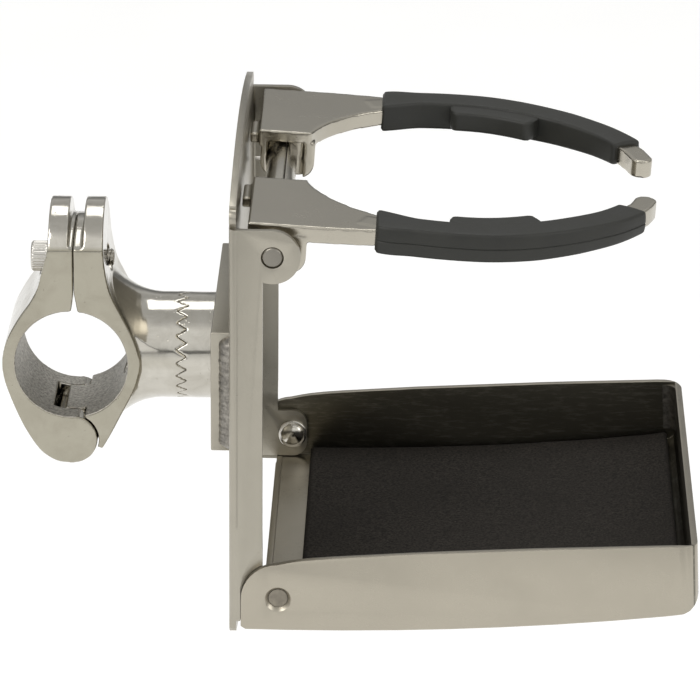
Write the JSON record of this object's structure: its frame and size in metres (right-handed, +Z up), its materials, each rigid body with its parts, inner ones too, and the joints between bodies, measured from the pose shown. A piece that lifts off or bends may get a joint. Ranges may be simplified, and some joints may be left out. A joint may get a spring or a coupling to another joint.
{
  "type": "rail-mount drink holder",
  "caption": "Folding drink holder for a round rail: hinged tube clamp, indexing swivel, channel back, padded fold-down arms and a fold-up tray with a foam floor.",
  "frame": {"origin": "centre of the clamp bore, midway along its length", "axes": "+X from the rail out to the drink, along the swivel axis; +Y along the rail axis; +Z up"},
  "size_m": [0.1578, 0.1, 0.1116],
  "materials": {
    "steel_satin": "satin stainless sheet, fine brushed grain",
    "steel_cast": "investment-cast stainless, tumbled and polished",
    "steel_polished": "bright turned stainless",
    "rubber": "matte moulded rubber",
    "foam": "closed-cell foam sheet, fine grain"
  },
  "bodies": {
    "clamp": {"clamp_jaw_fixed": "steel_cast", "clamp_hinge_pin": "steel_polished"},
    "clamp_screw_body": {"clamp_screw": "steel_polished"},
    "hinged_jaw": {"clamp_jaw_hinged": "steel_cast"},
    "swivel_bolt_body": {"swivel_bolt": "steel_polished", "swivel_lock_washer": "steel_polished"},
    "holder": {"swivel_stub": "steel_satin", "base_plate": "steel_satin", "base_plate_welds": "steel_satin", "back_channel": "steel_satin", "arm_pin": "steel_polished", "arm_pin_spacer": "steel_polished", "arm_thrust_washers": "steel_polished", "tray_rivets": "steel_polished", "tray_rivet_washers": "steel_polished"},
    "near_arm": {"arm_near": "steel_cast", "sleeve_near": "rubber", "arm_spring_near": "steel_polished"},
    "far_arm": {"arm_far": "steel_cast", "sleeve_far": "rubber", "arm_spring_far": "steel_polished"},
    "tray_body": {"tray": "steel_satin", "tray_corner_welds": "steel_satin", "tray_pad": "foam"}
  },
  "joints": [
    {"name": "clamp_screw_travel", "type": "slide", "parent": "clamp", "child": "clamp_screw_body", "axis": [-1, 0, 0], "range_m": [0, 0.002]},
    {"name": "jaw_hinge", "type": "hinge", "parent": "clamp", "child": "hinged_jaw", "pos_m": [0, 0, -0.0184], "axis": [0, -1, 0], "range_deg": [0, 2.58]},
    {"name": "swivel_turn", "type": "hinge", "parent": "clamp", "child": "swivel_bolt_body", "pos_m": [0.0249, 0, 0.0005], "axis": [1, 0, 0], "continuous": true},
    {"name": "swivel_release", "type": "slide", "parent": "swivel_bolt_body", "child": "holder", "axis": [1, 0, 0], "range_m": [0, 0.0028]},
    {"name": "near_arm_hinge", "type": "hinge", "parent": "holder", "child": "near_arm", "pos_m": [0.047, -0.03, 0.0406], "axis": [0, 1, 0], "range_deg": [0, 92], "stiffness_Nm_per_rad": 0.05, "springref_deg": -91.67, "deforming": ["arm_spring_near"]},
    {"name": "far_arm_hinge", "type": "hinge", "parent": "holder", "child": "far_arm", "pos_m": [0.047, 0.03, 0.0406], "axis": [0, 1, 0], "range_deg": [0, 92], "stiffness_Nm_per_rad": 0.05, "springref_deg": -91.67, "deforming": ["arm_spring_far"]},
    {"name": "tray_hinge", "type": "hinge", "parent": "holder", "child": "tray_body", "pos_m": [0.0484, 0, -0.0406], "axis": [0, 1, 0], "range_deg": [-42, 0]}
  ],
  "couplings": [
    {"joint": "jaw_hinge", "follows": "clamp_screw_travel", "rad_per_m": 22.43}
  ]
}
